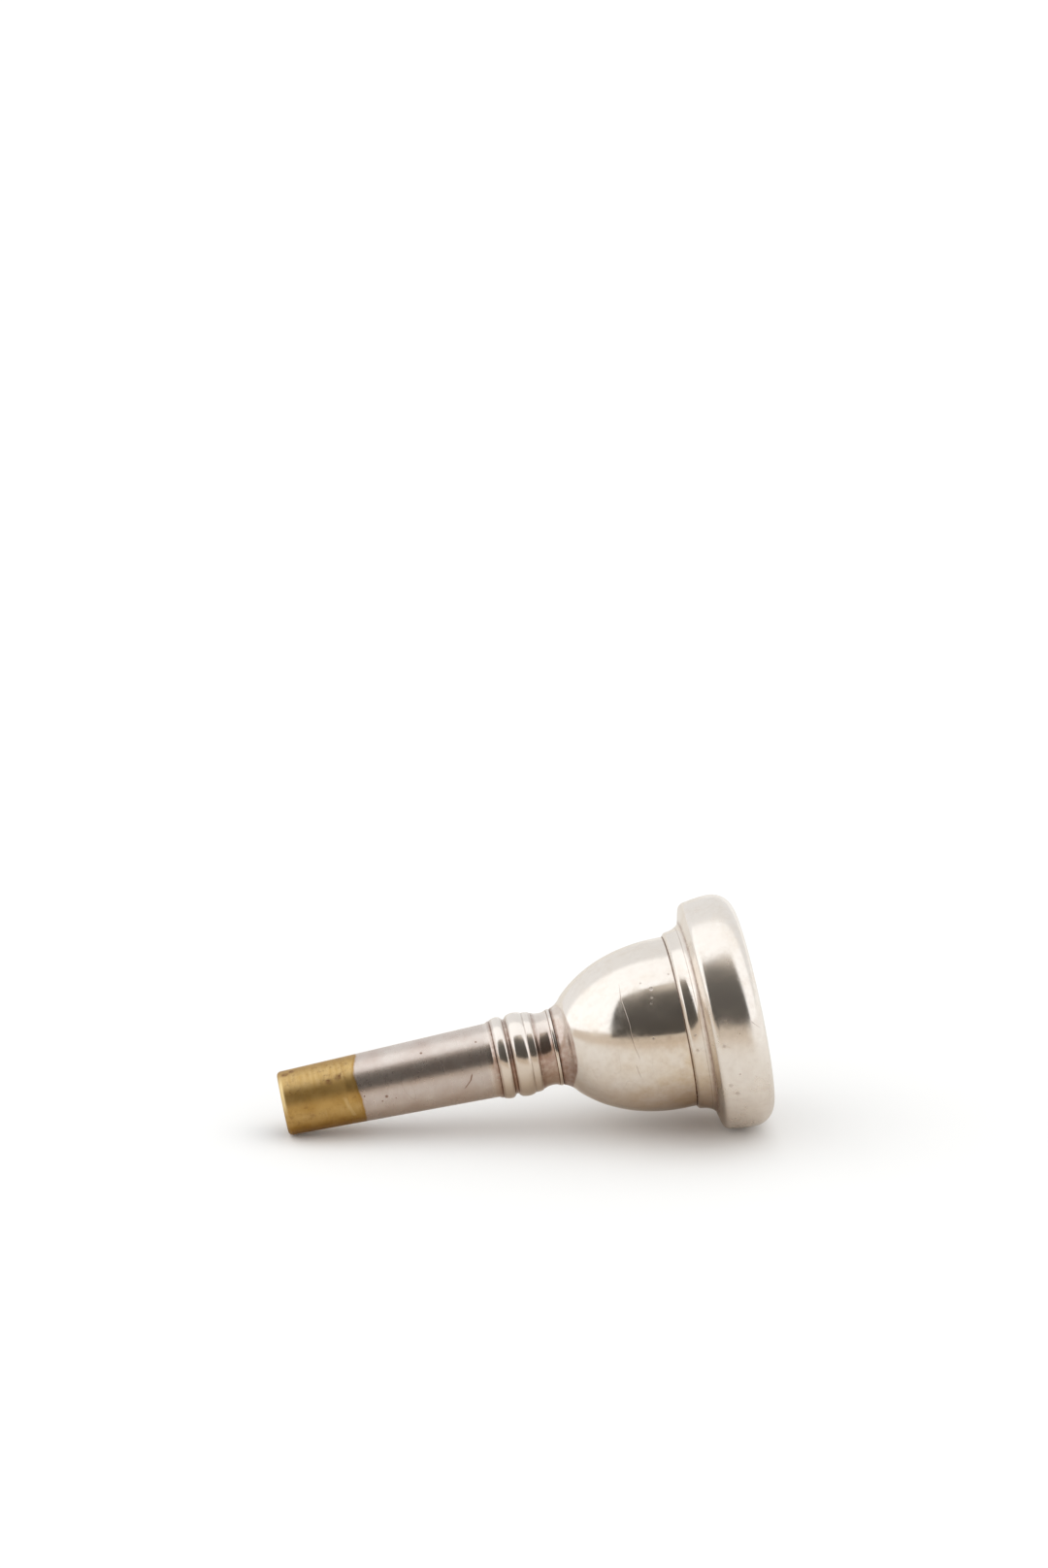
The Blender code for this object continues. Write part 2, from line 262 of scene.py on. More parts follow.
def through(knots, steps=8):
    """A smooth curve through (station, radius) knots."""
    ends = [knots[0], *knots, knots[-1]]
    points = [knots[0]]
    for before, start, end, after in zip(ends, ends[1:], ends[2:], ends[3:]):
        for step in range(1, steps + 1):
            t = step / steps
            point = []
            for a, b, c, d in zip(before, start, end, after):
                point.append(
                    b
                    + 0.5 * t * (c - a)
                    + t * t * (a - 2.5 * b + 2.0 * c - 0.5 * d)
                    + t**3 * (1.5 * (b - c) + 0.5 * (d - a))
                )
            points.append(tuple(point))
    return points


def eased(corners, hold=0.05, steps=5):
    """Straight runs between (station, radius, round) corners, with each corner rounded off.

    A point is held close to each end of a long run, so that the shading stays flat along it.
    """
    points = [corners[0][:2]]
    for before, corner, after in zip(corners, corners[1:], corners[2:]):
        here = Vector(corner[:2])
        back = Vector(before[:2]) - here
        on = Vector(after[:2]) - here
        reach = min(corner[2], 0.45 * back.length, 0.45 * on.length)
        if reach <= 0.0:
            points.append(tuple(here))
            continue
        start = here + back.normalized() * reach
        end = here + on.normalized() * reach
        if back.length > 4 * hold + reach:
            points.append(tuple(start + back.normalized() * hold))
        for step in range(steps + 1):
            t = step / steps
            points.append(tuple(start * (1 - t) ** 2 + here * 2 * t * (1 - t) + end * t * t))
        if on.length > 4 * hold + reach:
            points.append(tuple(end + on.normalized() * hold))
    points.append(corners[-1][:2])
    return points


def spin_chain(bm, verts, closed, **sweep):
    """Spin a chain of points round the axis."""
    ends = verts[1:] + verts[:1] if closed else verts[1:]
    edges = [bm.edges.new(pair) for pair in zip(verts, ends)]
    bmesh.ops.spin(bm, geom=verts + edges, cent=(0, 0, 0), axis=(0, 0, 1), **sweep)


def join(bm, part, slot):
    """Put a finished part into a piece's shape; its faces take a material slot."""
    for face in part.faces:
        face.material_index = slot
    scrap = bpy.data.meshes.new("scrap")
    part.to_mesh(scrap)
    part.free()
    bm.from_mesh(scrap)
    bpy.data.meshes.remove(scrap)


def turn(bm, chain, slot):
    """Turn a chain of (station, radius) points once round the axis."""
    steps = bpy.context.scene.mouthpiece.turn_steps
    part = bmesh.new()
    verts = [part.verts.new((radius * MM, 0.0, station * MM)) for station, radius in chain]
    spin_chain(part, verts, False, angle=2 * math.pi, steps=steps, use_merge=True)
    join(bm, part, slot)


def wind_thread(bm, start, end, wall, height):
    """Wind a screw thread's ridge on a wall between two stations; a height below 0 goes inwards."""
    turns = (end - start) / THREAD_PITCH - 1.0
    steps = round(turns * THREAD_STEPS)
    climb = (0, 0, (end - start - THREAD_PITCH) / steps * MM)
    root, crest = wall - math.copysign(THREAD_ROOT, height), wall + height
    # The tooth's corners, at shares of the pitch.
    tooth = ((root, 0.05), (crest, 0.38), (crest, 0.52), (root, 0.85))
    part = bmesh.new()
    verts = [
        part.verts.new((radius * MM, 0.0, (start + share * THREAD_PITCH) * MM))
        for radius, share in tooth
    ]
    spin_chain(part, verts, True, dvec=climb, angle=2 * math.pi * turns, steps=steps)
    bmesh.ops.holes_fill(part, edges=[edge for edge in part.edges if edge.is_boundary], sides=4)
    join(bm, part, MACHINED)


def make_piece(bm, name, materials):
    """Make a shape an object of the scene, with its materials in the order of their slots."""
    mesh = bpy.data.meshes.new(name)
    bm.to_mesh(mesh)
    bm.free()
    for material in materials:
        mesh.materials.append(material)
    piece = bpy.data.objects.new(name, mesh)
    bpy.context.scene.collection.objects.link(piece)
    return piece


def finish_piece(bm, name, materials, node, body):
    """Lay the turned shape on its axis, make it a piece and let it stand for its CAD node."""
    bmesh.ops.remove_doubles(bm, verts=bm.verts, dist=MERGE_REACH)
    bmesh.ops.recalc_face_normals(bm, faces=bm.faces)
    bmesh.ops.transform(bm, matrix=LYING, verts=bm.verts)
    for face in bm.faces:
        face.smooth = True
    piece = make_piece(bm, name, materials)
    piece.data.set_sharp_from_angle(angle=SHARP_TURN)
    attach(piece, body)
    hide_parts(node)


# Kinds of node, some with an operation after a colon.
MIX = "ShaderNodeMix"
NOISE = "ShaderNodeTexNoise"
RANGE = "ShaderNodeMapRange"  # a value, its low and high, and what they become
SPLIT = "ShaderNodeSeparateXYZ"
WHERE = "ShaderNodeTexCoord"
TIMES = "ShaderNodeMath:MULTIPLY"
TIMES_PLUS = "ShaderNodeMath:MULTIPLY_ADD"
MINUS = "ShaderNodeMath:SUBTRACT"
UNSIGNED = "ShaderNodeMath:ABSOLUTE"
LARGER = "ShaderNodeMath:MAXIMUM"
SMALLER = "ShaderNodeMath:MINIMUM"

SMOOTH = {"interpolation_type": "SMOOTHSTEP"}  # for a range with soft ends
FULL_TARNISH = 0.95


def add_node(tree, kind, links=(), out=0, stops=(), **settings):
    """Add a node with its settings, its input values or links and a ramp's stops; give one output.

    The kind may name an operation after a colon. Inputs come in order or by name, and a colour
    gets its alpha.
    """
    kind, _, operation = kind.partition(":")
    node = tree.nodes.new(kind)
    if operation:
        node.operation = operation
    for name, value in settings.items():
        setattr(node, name, value)
    links = links if isinstance(links, dict) else dict(enumerate(links))
    for socket, value in links.items():
        if isinstance(value, bpy.types.NodeSocket):
            tree.links.new(value, node.inputs[socket])
        else:
            value = (*value, 1.0) if isinstance(value, Color) else value
            node.inputs[socket].default_value = value
    if stops:
        node.color_ramp.elements.remove(node.color_ramp.elements[1])
        node.color_ramp.elements[0].position = stops[0][0]
    for index, (place, level) in enumerate(stops):
        ramp = node.color_ramp.elements
        element = ramp[0] if index == 0 else ramp.new(place)
        element.color = (level, level, level, 1.0)
    return node.outputs[out] if node.outputs else node


def blank_material(name):
    """A material whose node tree is still empty, and the call that adds nodes to it."""
    material = bpy.data.materials.new(name)
    material.use_nodes = True
    material.node_tree.nodes.clear()
    return material, partial(add_node, material.node_tree)


def on_axis(node):
    """The place on the axis in mm, its station, and its degrees from the top towards the camera.

    In the place, X is down, Y is away from the camera and Z is the station.
    """
    seat = {"Location": END_CENTRE, "Rotation": (0, AXIS_TURN, 0), "Scale": (MM, MM, MM)}
    seat["Vector"] = node(WHERE, out="Object")
    place = node("ShaderNodeMapping", seat, vector_type="TEXTURE")
    flipped = node("ShaderNodeVectorMath:MULTIPLY", (place, (-1, -1, 1)))
    upward, toward, station = (node(SPLIT, [flipped], out=name) for name in "XYZ")
    angle = node("ShaderNodeMath:ARCTAN2", (toward, upward))
    return place, station, node("ShaderNodeMath:DEGREES", [angle])


def share_by(node, value, pairs):
    """A share that follows a value through (value, share) pairs and holds beyond them."""
    low, high = pairs[0][0], pairs[-1][0]
    stops = [((at - low) / (high - low), level) for at, level in pairs]
    return node("ShaderNodeValToRGB", [node(RANGE, (value, low, high))], stops=stops)


def weighted(node, pairs):
    """The sum of shares, given with their weights."""
    total = 0.0
    for share, weight in pairs:
        total = node(TIMES_PLUS, (share, weight, total))
    return total


def coated(node, base, coats):
    """A colour under (share, colour) coats, of which the last lies on top."""
    for share, tint in coats:
        base = node(MIX, {0: share, 6: base, 7: tint}, 2, data_type="RGBA")
    return base


def clouded(node, place, broad, fine):
    """Broad clouds and finer mottling, from 0 to 1, each given its size in millimetres."""
    clouds = {"Vector": place, "Scale": 1 / broad, "Detail": 4.0, "Roughness": 0.55}
    mottle = {"Vector": place, "Scale": 1 / fine, "Detail": 5.0, "Roughness": 0.65}
    return node(NOISE, clouds), node(NOISE, mottle)


def groove_dirt(node, station, mottle, stains):
    """Shares of the tarnish that rubbing leaves: all over, and at grooves and seams.

    Stains are given as (station, half width, depth) in millimetres.
    """
    rub = node(RANGE, (mottle, 0.3, 0.6, 0.6, 1.0))
    pairs = [(stains[0][0] - 1.0, 0.0)]
    for at, half, depth in stains:
        pairs += [(at - half, 0.0), (at, depth), (at + half, 0.0)]
    pairs.append((stains[-1][0] + 1.0, 0.0))
    return rub, node(TIMES, (share_by(node, station, pairs), rub))


def darkness(node, marks, dirt):
    """How dark the tarnish is: weighted marks, or the dirt in grooves where that is more."""
    dark = node(LARGER, (weighted(node, marks), dirt))
    return node(SMALLER, (dark, FULL_TARNISH))


def turning_marks(node, place, width, sweep):
    """Fine rings left by the lathe and by cloths: width and sweep in millimetres, 0 to 1."""
    squeezed = {"Vector": place, "Scale": (1 / sweep, 1 / sweep, 1 / width)}
    squeezed = node("ShaderNodeMapping", squeezed)
    return node(NOISE, {"Vector": squeezed, "Scale": 1.0, "Detail": 3.0})


def pinholes(node, place, spacing, size, kept):
    """Round pinholes of a size, one in each cell of a spacing, of which a share is kept."""
    cells = {"Vector": place, "Scale": 1 / spacing, "Randomness": 1.0}
    away = node("ShaderNodeTexVoronoi", cells, out="Distance")
    tint = node("ShaderNodeTexVoronoi", cells, out="Color")
    chance = node("ShaderNodeSeparateColor", [tint])
    reach = size / spacing / 2
    hole = node(RANGE, (away, reach, 0.5 * reach), **SMOOTH)
    there = node(RANGE, (chance, 1.0 - kept, 1.0 - 0.9 * kept))
    return node(TIMES, (hole, there))


def placed_pits(node, place, pits):
    """Pits at known places on the surface, given as (station, degrees, radius, size) in mm."""
    share = 0.0
    for station, degrees, radius, size in pits:
        turned = math.radians(degrees)
        centre = (-radius * math.cos(turned), -radius * math.sin(turned), station)
        away = node("ShaderNodeVectorMath:DISTANCE", (place, centre), out="Value")
        hole = node(RANGE, (away, 0.5 * size, 0.15 * size), **SMOOTH)
        share = node(LARGER, (hole, share))
    return share


def placed_scratches(node, station, angle, scratches):
    """Scratches along (station, degrees) points, each given with its width in millimetres."""
    share = 0.0
    for width, points in scratches:
        low = min(at for at, degrees in points)
        reach = max(at for at, degrees in points) - low
        path = share_by(node, angle, [(degrees, (at - low) / reach) for at, degrees in points])
        path = node(TIMES_PLUS, (path, reach, low))
        aside = node(UNSIGNED, [node(MINUS, (station, path))])
        line = node(RANGE, (aside, 0.5 * width, 0.1 * width), **SMOOTH)
        first, last = points[0][1], points[-1][1]
        full = first + 0.15 * (last - first)
        fade = share_by(node, angle, [(first, 0.0), (full, 1.0), (last - 3.0, 0.8), (last, 0.0)])
        share = node(LARGER, (node(TIMES, (line, fade)), share))
    return share


def hairlines(node, place, spread, width, lean):
    """Thin scratches where a stretched noise crosses its middle value."""
    leaned = {"Vector": place, "Rotation": lean, "Scale": (0.25, 1.0, 1.0)}
    leaned = node("ShaderNodeMapping", leaned)
    field = {"Vector": leaned, "Scale": 1 / spread, "Detail": 1.0, "Roughness": 0.3}
    aside = node(UNSIGNED, [node(MINUS, (node(NOISE, field), 0.5))])
    line = node(RANGE, (aside, width / spread, 0.0))
    patches = node(NOISE, {"Vector": leaned, "Scale": 0.4 / spread, "Detail": 2.0})
    there = node(RANGE, (patches, 0.52, 0.62))
    return node(TIMES, (line, there))


def metal_surface(node, base, roughness, relief, depth):
    """The metal's shader: its colour, and the (share, weight) pairs of its roughness and relief.

    A relief of 1 stands depth millimetres high.
    """
    bump = {"Height": weighted(node, relief), "Distance": depth * MM, "Strength": 1.0}
    metal = {"Base Color": base, "Metallic": 1.0, "Roughness": weighted(node, roughness)}
    metal["Normal"] = node("ShaderNodeBump", bump)
    node("ShaderNodeOutputMaterial", {"Surface": node("ShaderNodeBsdfPrincipled", metal)})


def silver_plate(name, finish, wear):
    """Silver plate, polished by hand: a bright, faintly warm mirror with rings, pits and stains, and painted shade
    and reflection on its underside and in its hollows.
    """
    material, node = blank_material(name)
    place, station, angle = on_axis(node)
    # The lathe's rings are finer on real plate; these are coarse enough to show.
    rings = turning_marks(node, place, 0.22, 7.0)
    clouds, mottle = clouded(node, place, 4.0, 1.3)
    pits = placed_pits(node, place, wear["pits"])
    holes = node(LARGER, (pinholes(node, place, 2.6, 0.26, 0.1), pits))
    lines = hairlines(node, place, 5.0, 0.02, (0.5, 0.2, 0.9))
    cuts = placed_scratches(node, station, angle, wear["scratches"])
    rub, dirt = groove_dirt(node, station, mottle, wear["stains"])
    # A thin tarnish stays beside the seams, where a cloth reaches least. The dusky band is also a
    # painted reflection and painted shade of the dark parts beside it; its edge reaches furthest on the near side.
    reflection_creep = [(-60, 0.3), (0, 0.0), (25, 0.45), (50, 0.85), (72, 1.0), (92, 0.95), (107, 0.7)]
    reflection_creep = share_by(node, angle, [*reflection_creep, (122, 0.32), (137, 0.08), (150, 0.0), (180, 0.1)])
    shifted_station = node(TIMES_PLUS, (reflection_creep, -wear["reflection_creep"], station))
    # Darker away from the top: partly wear, partly painted shade.
    side = [(-180, 1.0), (-60, 0.5), (0, 0.3), (30, 0.4), (72, 0.85), (95, 1.0)]
    side = node(TIMES, (share_by(node, angle, side), rub))
    dull = node(TIMES, (share_by(node, shifted_station, wear["dusk_and_shade"]), side))
    # Painted shade: the dusky band turns browner towards the underside.
    browned_and_shaded = [(-180, 0.35), (-110, 0.0), (78, 0.0), (108, 0.35), (180, 0.35)]
    browned_and_shaded = node(TIMES, (share_by(node, angle, browned_and_shaded), dull))
    dirt = node(LARGER, (browned_and_shaded, dirt))
    # Freckles of tarnish lie all over, and least where hands rub.
    freckles = node(RANGE, (mottle, 0.42, 0.8, 0.0, wear["freckles"]))
    freckles = node(TIMES, (freckles, side))
    dull = node(LARGER, (freckles, dull))
    # The underside is warmer: partly warm tarnish where a cloth reaches least, partly a painted
    # reflection of the warm floor. Lowest down it is brown: grime and painted shade.
    under = [(-180, 1.0), (-130, 0.6), (-60, 0.3), (0, 0.2), (45, 0.0), (60, 0.0), (85, 0.6)]
    under = share_by(node, angle, [*under, (115, 1.0)])
    warm = node(TIMES, (share_by(node, station, wear["warmth"]), under))
    patchy = node(TIMES_PLUS, (mottle, 0.35, clouds))
    warm = node(TIMES, (warm, node(RANGE, (patchy, 0.5, 0.85, 0.3, 1.6))))
    smudges = node(RANGE, (patchy, 0.62, 0.95, 0.0, 0.2))
    warm = node(LARGER, (warm, smudges))
    # Painted shade with grime: a brown film over the underside.
    film_and_shade = [(-180, 0.7), (-145, 0.7), (-110, 0.0), (110, 0.0), (128, 0.5), (145, 0.75), (180, 0.7)]
    film_and_shade = node(TIMES, (share_by(node, station, wear["grime_and_shade"]), share_by(node, angle, film_and_shade)))
    dark = darkness(node, [(holes, 0.24), (lines, 0.12), (cuts, 0.5)], dirt)
    coats = [(warm, finish.warm_silver_and_reflection), (film_and_shade, finish.grime_and_shade), (dull, finish.dusky_silver_and_reflection)]
    base = coated(node, finish.silver, [*coats, (dark, finish.tarnish)])
    roughness = [(rings, 0.05), (mottle, 0.06), (clouds, 0.06), (dirt, 0.25), (dull, 0.16)]
    roughness += [(holes, 0.3), (smudges, 0.5), (share_by(node, station, wear["haze"]), 1.0)]
    relief = [(rings, 0.16), (mottle, 0.1), (holes, -0.6), (pits, -1.6), (cuts, -2.4)]
    relief += [(lines, -0.1), (1.0, 1.0)]
    metal_surface(node, base, roughness, relief, 0.006)
    return material


def inside_plate(name, finish):
    """Silver plate in the cup, kept clean by a brush: a mirror, faintly dull near the throat."""
    wear = {
        "haze": [(48.0, 0.06), (80.0, 0.06)],
        "freckles": 0.03,
        "stains": [(48.0, 0.5, 0.2), (65.7, 0.2, 0.4)],
        "dusk_and_shade": [(48.0, 0.12), (56.0, 0.0)],
        "reflection_creep": 0.0,
        "warmth": [(48.0, 0.35), (62.0, 0.1)],
        "grime_and_shade": [(48.0, 0.0), (80.0, 0.0)],
        "pits": [],
        "scratches": [],
    }
    return silver_plate(name, finish, wear)


def brass_tint(node, finish, place, station, angle, rubbed):
    """Bare brass, rubbed pale where hands reach and given a painted highlight along its top, brown elsewhere with
    painted shade below: its colour, mottling and spots.
    """
    clouds, mottle = clouded(node, place, 3.0, 0.7)
    streaks = turning_marks(node, place, 0.5, 3.0)
    patchy = node("ShaderNodeMath:ADD", (clouds, streaks))
    patchy = node(RANGE, (patchy, 0.7, 1.2, 0.1, 1.0))
    # A pale band along the top: scuffs, and a painted highlight.
    pale = [(-60, 0.0), (0, 0.08), (22, 0.42), (45, 0.4), (58, 0.0), (90, 0.0), (104, 0.2)]
    pale = share_by(node, angle, [*pale, (120, 0.0)])
    pale = node(TIMES, (pale, patchy))
    scuff = [(0.9, [(10.6, 80.0), (11.1, 100.0), (11.8, 123.0)])]
    scuff = placed_scratches(node, station, angle, scuff)
    pale = node(TIMES_PLUS, (scuff, 0.3, pale))
    pale = node(TIMES, (pale, rubbed))
    # Darker on the underside and the far side: browning and painted shade.
    deep = [(-180, 0.9), (-120, 0.5), (-60, 0.35), (6, 0.3), (22, 0.05), (48, 0.0), (84, 0.0)]
    deep = share_by(node, angle, [*deep, (98, 0.1), (118, 0.3), (135, 0.9), (180, 0.9)])
    brown = node(RANGE, (clouds, 0.38, 0.66, 0.0, 0.5))
    brown = node(TIMES_PLUS, (deep, rubbed, brown))
    spots = node(RANGE, (mottle, 0.52, 0.75))
    there = node(RANGE, (clouds, 0.4, 0.6, 0.0, 0.7))
    spots = node(TIMES, (spots, there))
    # Brown stays by the open end, and where the pale band ends.
    stuck = [(1.7, 12, 5.34, 1.7), (2.9, 6, 5.37, 1.5), (8.6, 50, 5.5, 1.6), (10.2, 45, 5.55, 1.8)]
    stuck = node(TIMES, (placed_pits(node, place, stuck), mottle))
    stuck = node(TIMES_PLUS, (stuck, rubbed, spots))
    spots = node(SMALLER, (stuck, 0.8))
    coats = [(brown, finish.deep_brass_and_shade), (pale, finish.pale_brass_and_highlight), (spots, finish.tarnish)]
    return coated(node, finish.brass, coats), mottle, spots


def worn_shank_plate(finish, wear):
    """Silver plate worn satin by the receiver, scratched and rubbed through to brass at its end, with painted
    shade and reflection in its neck and on its underside.
    """
    material, node = blank_material("worn silver plate over brass")
    place, station, angle = on_axis(node)
    rings = turning_marks(node, place, 0.25, 4.0)
    clouds, mottle = clouded(node, place, 4.0, 0.8)
    pits = placed_pits(node, place, wear["pits"])
    holes = node(LARGER, (pinholes(node, place, 1.9, 0.3, 0.12), pits))
    lines = hairlines(node, place, 4.0, 0.025, (0.9, 0.5, 0.2))
    cuts = placed_scratches(node, station, angle, wear["scratches"])
    rub, dirt = groove_dirt(node, station, mottle, wear["stains"])
    # Darker away from the top: partly wear, partly painted shade.
    side = [(-180, 1.0), (-60, 0.4), (0, 0.2), (35, 0.3), (68, 1.0), (180, 1.0)]
    side = node(TIMES, (share_by(node, angle, side), rub))
    dull = node(TIMES, (share_by(node, station, wear["dusk_and_shade"]), side))
    # Fingers keep the beads and the neck bright; the taper is rubbed grey, with a brighter streak
    # along its top.
    bright = share_by(node, station, [(34.5, 0.0), (36.3, 1.0)])
    thin = node(RANGE, (clouds, 0.4, 0.7, 0.0, 0.35))
    kept = node(RANGE, (bright, 0.0, 1.0, 1.0, 0.25))
    dull = node(LARGER, (dull, node(TIMES, (thin, kept))))
    streak = [(-20, 0.1), (12, 0.3), (36, 0.3), (48, 0.0), (104, 0.0), (114, 0.2), (128, 0.0)]
    polish = node(LARGER, (bright, share_by(node, angle, streak)))
    # Warmer towards the underside: partly tarnish, partly a painted reflection of the warm floor.
    warm = [(-180, 0.45), (-110, 0.2), (-60, 0.0), (60, 0.0), (85, 0.3), (115, 0.45)]
    warm = node(TIMES, (share_by(node, angle, warm), bright))
    # Painted shade with grime: a brown film over the underside.
    film_and_shade = [(-180, 0.4), (-145, 0.4), (-110, 0.0), (98, 0.0), (118, 0.25), (140, 0.4), (180, 0.4)]
    film_and_shade = share_by(node, angle, film_and_shade)
    dark = darkness(node, [(holes, 0.75), (lines, 0.15), (cuts, 0.85)], dirt)
    coats = [(polish, finish.silver), (warm, finish.warm_silver_and_reflection), (dull, finish.dusky_silver_and_reflection)]
    coats += [(film_and_shade, finish.grime_and_shade), (dark, finish.tarnish)]
    plate = coated(node, finish.worn_silver, coats)
    # The plate's edge reaches lowest on the near side, and wanders by a third of a millimetre.
    edge = [(-180, 0.5), (-90, 0.3), (-20, 0.75), (2, 0.9), (30, 0.35), (45, 0.05), (75, 0.35)]
    edge = share_by(node, angle, [*edge, (102, 0.6), (132, 0.66), (180, 0.5)])
    ragged = {"Vector": place, "Scale": 1 / 1.6, "Detail": 6.0, "Roughness": 0.7}
    edge = node(TIMES_PLUS, (edge, 1.2, 12.3))
    edge = node(TIMES_PLUS, (node(NOISE, ragged), 0.8, edge))
    above = node(MINUS, (station, edge))
    plated = node(RANGE, (above, -0.12, 0.12), **SMOOTH)
    fringe = share_by(node, above, [(-0.5, 0.0), (-0.1, 0.55), (0.1, 0.4), (0.3, 0.0)])
    bared, *_ = brass_tint(node, finish, place, station, angle, 1.0)
    base = coated(node, bared, [(plated, plate), (fringe, finish.deep_brass_and_shade)])
    roughness = [(rings, 0.1), (mottle, 0.08), (dirt, 0.15), (holes, 0.2), (plated, -0.1)]
    roughness += [(bright, -0.12), (1.0, 0.3)]
    relief = [(rings, 0.08), (mottle, 0.02), (holes, -1.0), (cuts, -0.7), (plated, 0.8), (1.0, 1.0)]
    metal_surface(node, base, roughness, relief, 0.008)
    return material


def bare_brass(name, finish, marks, dullness, rubbed=0.0):
    """Bare brass, turned and then left to dull: warm yellow with rings, spots and a satin sheen, and a painted
    highlight and painted shade.
    """
    material, node = blank_material(name)
    place, station, angle = on_axis(node)
    rings = turning_marks(node, place, marks, 5.0)
    base, mottle, spots = brass_tint(node, finish, place, station, angle, rubbed)
    # Painted highlight: the open end's rounded edge is pale brass on the near side.
    near = share_by(node, angle, [(10, 0.0), (35, 1.0), (75, 1.0), (100, 0.0)])
    edge = share_by(node, station, [(0.85, 0.95), (1.2, 0.0)])
    edge = node(TIMES, (node(TIMES, (edge, near)), rubbed))
    base = coated(node, base, [(edge, finish.pale_brass_and_highlight)])
    roughness = [(rings, 0.14), (mottle, 0.1), (spots, 0.1), (1.0, dullness)]
    metal_surface(node, base, roughness, [(rings, 0.5), (mottle, 0.4), (1.0, 0.5)], 0.01)
    return material


def plated_piece(name, finish, wear):
    """The materials of a plated piece: worn plate outside, brass thread and clean plate inside."""
    return [
        silver_plate(f"polished silver plate, {name}", finish, wear),
        bare_brass(f"machined brass thread, {name}", finish, 0.12, 0.14),
        inside_plate(f"polished silver plate, inside the {name}", finish),
    ]


class MOUTHPIECE_OT_rim(Operator):
    """Turn the rounded rim with its collar, and the threaded spigot below it"""

    bl_idname = "mouthpiece.rim"
    bl_label = "Turn the Rim"

    def execute(self, context):
        settings = context.scene.mouthpiece
        rim = settings.rim
        crest, radius, mouth = rim.crest / MM, rim.radius / MM, rim.mouth / MM
        front, seam = rim.front_round / MM, rim.seam / MM + SEAM_GAP
        spigot_end = rim.spigot_end / MM - 0.2
        top, depth = crest - LIP_DROP, settings.cup.depth / MM
        band_low = radius - BAND_RISE
        back = (crest - 7.6, band_low - 1.0)
        band = crest - front - back[0]
        collar = [(seam, 14.3), (seam + 0.08, 14.4, 0.04), (seam + 0.42, 14.84, 0.25)]
        cove = [(-11.45, 14.92), (-10.9, 15.05), (-10.25, 15.32), (-9.8, 15.62), (-9.5, 15.92)]
        cove = [(crest + at, out) for at, out in cove]
        outside = [(seam, RIM_SPIGOT), *eased([*collar, cove[0]])]
        outside += through(cove, 5)[1:]
        outside += [(crest - 9.46, 15.93), (crest - 9.43, 16.05), (crest - 9.38, 16.14)]
        outside += arc(back, 1.25, 1.0, 165, 90, 12)
        outside.append((back[0] + 0.05, band_low + 0.006))
        for step in range(1, BAND_STEPS):
            t = step / BAND_STEPS
            outside.append((back[0] + band * t, band_low + BAND_RISE * t * (2 - t)))
        lip, crown = crest - INNER_ROUND, radius - front
        outside += arc((crest - front, crown), front, front, 90, 0, 18)
        outside += arc((lip, crown), INNER_ROUND, crown - mouth, 360, 270, 18)[1:]
        bore = [(lip, mouth), (lip - 0.1, mouth), (top, mouth)]
        spigot_turn = math.degrees(math.asin((top - spigot_end) / depth))
        bore += arc((top, 0.0), depth, -mouth, -90, -90 - spigot_turn, 16)[1:]
        bm = bmesh.new()
        turn(bm, outside, OUTSIDE)
        turn(bm, bore, INSIDE)
        turn(bm, eased([(seam, RIM_SPIGOT), (spigot_end, RIM_SPIGOT, 0.3), bore[-1]]), MACHINED)
        wind_thread(bm, spigot_end + 0.4, seam - 0.5, RIM_SPIGOT, 0.3)
        wear = {
            "haze": [(69.8, 0.03), (71.6, 0.12)],
            "freckles": 0.17,
            "stains": [(67.42, 0.12, 0.7), (69.75, 0.12, 0.4), (70.48, 0.2, 0.45)],
            "dusk_and_shade": [(66.9, 0.35), (67.6, 0.03), (69.9, 0.03), (70.4, 0.7), (70.8, 0.0)],
            "reflection_creep": 0.0,
            "warmth": [
                (67.3, 0.5), (67.7, 0.36), (70.0, 0.4), (70.4, 0.45), (71.8, 0.05), (80.0, 0.05),
            ],
            "grime_and_shade": [(70.3, 1.0), (71.2, 0.36), (78.0, 0.3)],
            "pits": [
                (72.55, 88, 19.3, 0.9), (72.52, 110, 19.3, 1.1), (73.44, 115.5, 19.4, 1.2),
                (74.3, 104, 19.5, 0.6), (68.5, 92, 14.9, 0.8), (68.6, 82, 14.9, 0.7),
            ],
            "scratches": [(0.2, [(77.4, 78.0), (78.3, 81.0), (79.2, 84.0)])],
        }
        materials = plated_piece("rim", settings.finish, wear)
        finish_piece(bm, "screw_rim", materials, "rim", "rim_body")
        return {"FINISHED"}


